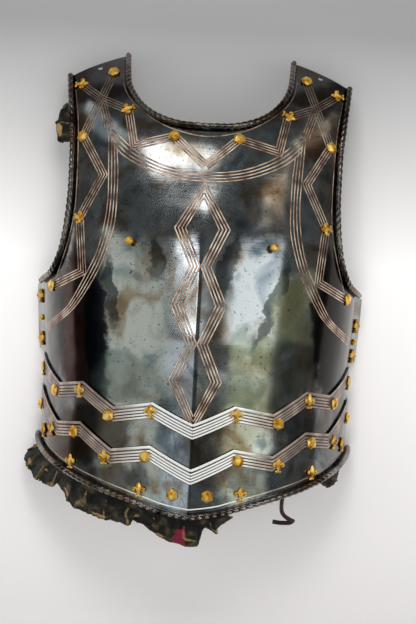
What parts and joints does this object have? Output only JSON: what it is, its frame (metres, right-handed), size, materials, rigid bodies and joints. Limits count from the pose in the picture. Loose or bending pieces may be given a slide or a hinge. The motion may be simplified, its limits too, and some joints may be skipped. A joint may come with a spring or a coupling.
{
  "type": "armour breastplate",
  "caption": "polished dark steel breastplate with medial ridge, roped neck and armholes, riveted waist lames, brass rivets and torn lining",
  "frame": {"origin": "middle of the base, on the surface that the breastplate lies on", "axes": "+X across the chest towards the wearer's left, +Y up the body towards the neck, +Z out of the chest"},
  "size_m": [0.373, 0.5412, 0.173],
  "materials": {
    "steel": "polished",
    "brass": "polished",
    "lining": "matte",
    "leather": "matte"
  },
  "bodies": {
    "root": {"breast_plate": "steel", "lame_lower": "steel", "lame_upper": "steel", "lining_armhole_scrap": "lining", "lining_front_scrap": "lining", "lining_right_scrap": "lining", "lining_ruffle": "lining", "lower_fleur_left_1": "brass", "lower_fleur_left_2": "brass", "lower_fleur_left_3": "brass", "lower_fleur_left_4": "brass", "lower_fleur_left_5": "brass", "lower_fleur_right_1": "brass", "lower_fleur_right_2": "brass", "lower_fleur_right_3": "brass", "lower_fleur_right_4": "brass", "lower_fleur_right_5": "brass", "lower_hex_left_1": "brass", "lower_hex_left_2": "brass", "lower_hex_left_3": "brass", "lower_hex_left_4": "brass", "lower_hex_right_1": "brass", "lower_hex_right_2": "brass", "lower_hex_right_3": "brass", "lower_hex_right_4": "brass", "plate_fleur_left_1": "brass", "plate_fleur_left_2": "brass", "plate_fleur_left_3": "brass", "plate_fleur_right_1": "brass", "plate_fleur_right_2": "brass", "plate_fleur_right_3": "brass", "plate_hex_left_1": "brass", "plate_hex_left_2": "brass", "plate_hex_left_3": "brass", "plate_hex_left_4": "brass", "plate_hex_right_1": "brass", "plate_hex_right_2": "brass", "plate_hex_right_3": "brass", "plate_hex_right_4": "brass", "plate_stud_left_1": "brass", "plate_stud_right_1": "brass", "side_strip_left": "steel", "side_strip_right": "steel", "strap_end": "leather", "strip_left_dome_2": "brass", "strip_left_fleur_1": "brass", "strip_left_fleur_3": "brass", "strip_right_dome_2": "brass", "strip_right_fleur_1": "brass", "strip_right_fleur_3": "brass", "upper_fleur_left_1": "brass", "upper_fleur_left_2": "brass", "upper_fleur_left_3": "brass", "upper_fleur_right_1": "brass", "upper_fleur_right_2": "brass", "upper_fleur_right_3": "brass", "upper_hex_left_1": "brass", "upper_hex_left_2": "brass", "upper_hex_right_1": "brass", "upper_hex_right_2": "brass"}
  },
  "joints": []
}
